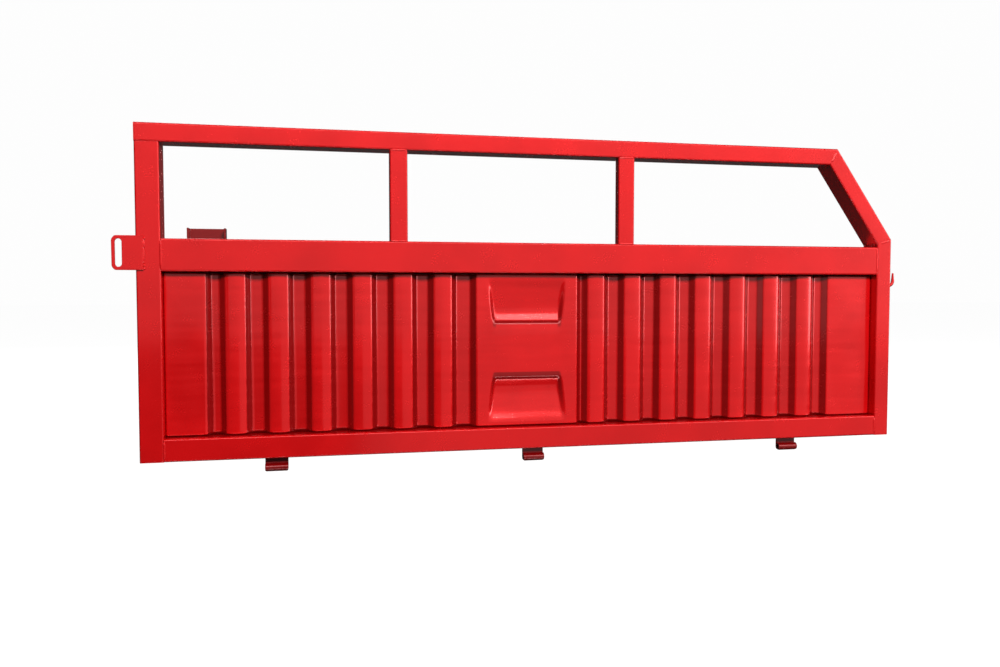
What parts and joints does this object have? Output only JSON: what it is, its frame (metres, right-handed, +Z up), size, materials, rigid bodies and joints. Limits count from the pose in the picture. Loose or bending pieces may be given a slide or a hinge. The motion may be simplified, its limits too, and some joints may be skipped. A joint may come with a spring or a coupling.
{
  "type": "livestock trailer side gate",
  "caption": "Welded tube side gate of a small livestock trailer: ribbed sheet panel below, open windows above, slanted rear corner, rolled hinge eyes, slotted hasp plate and rope hook.",
  "frame": {"origin": "centre of the middle hinge eye, on the hinge axis", "axes": "+X along the gate towards its slanted corner, -Y out of the gate's outer face, +Z up"},
  "size_m": [1.879, 0.095, 0.752],
  "materials": {
    "frame_paint": "gloss red paint on steel tube",
    "panel_paint": "gloss red paint on pressed sheet steel",
    "fitting_paint": "gloss red paint on steel plate and rod",
    "weld_paint": "gloss red paint over weld beads"
  },
  "bodies": {
    "root": {"top_rail": "frame_paint", "top_rail_cap": "frame_paint", "slanted_post": "frame_paint", "left_post": "frame_paint", "right_post": "frame_paint", "left_foot_cap": "frame_paint", "right_foot_cap": "frame_paint", "mid_rail": "frame_paint", "bottom_rail": "frame_paint", "window_post_left": "frame_paint", "window_post_right": "frame_paint", "side_panel": "panel_paint", "hinge_eye_left": "fitting_paint", "hinge_eye_middle": "fitting_paint", "hinge_eye_right": "fitting_paint", "hasp_plate": "fitting_paint", "rope_hook": "fitting_paint", "rear_bracket": "fitting_paint", "left_post_welds": "weld_paint", "right_post_welds": "weld_paint", "window_post_welds": "weld_paint", "mitre_welds": "weld_paint", "hasp_welds": "weld_paint", "hinge_welds": "weld_paint", "panel_stitch_welds": "weld_paint", "bracket_welds": "weld_paint", "hook_weld": "weld_paint"}
  },
  "joints": []
}
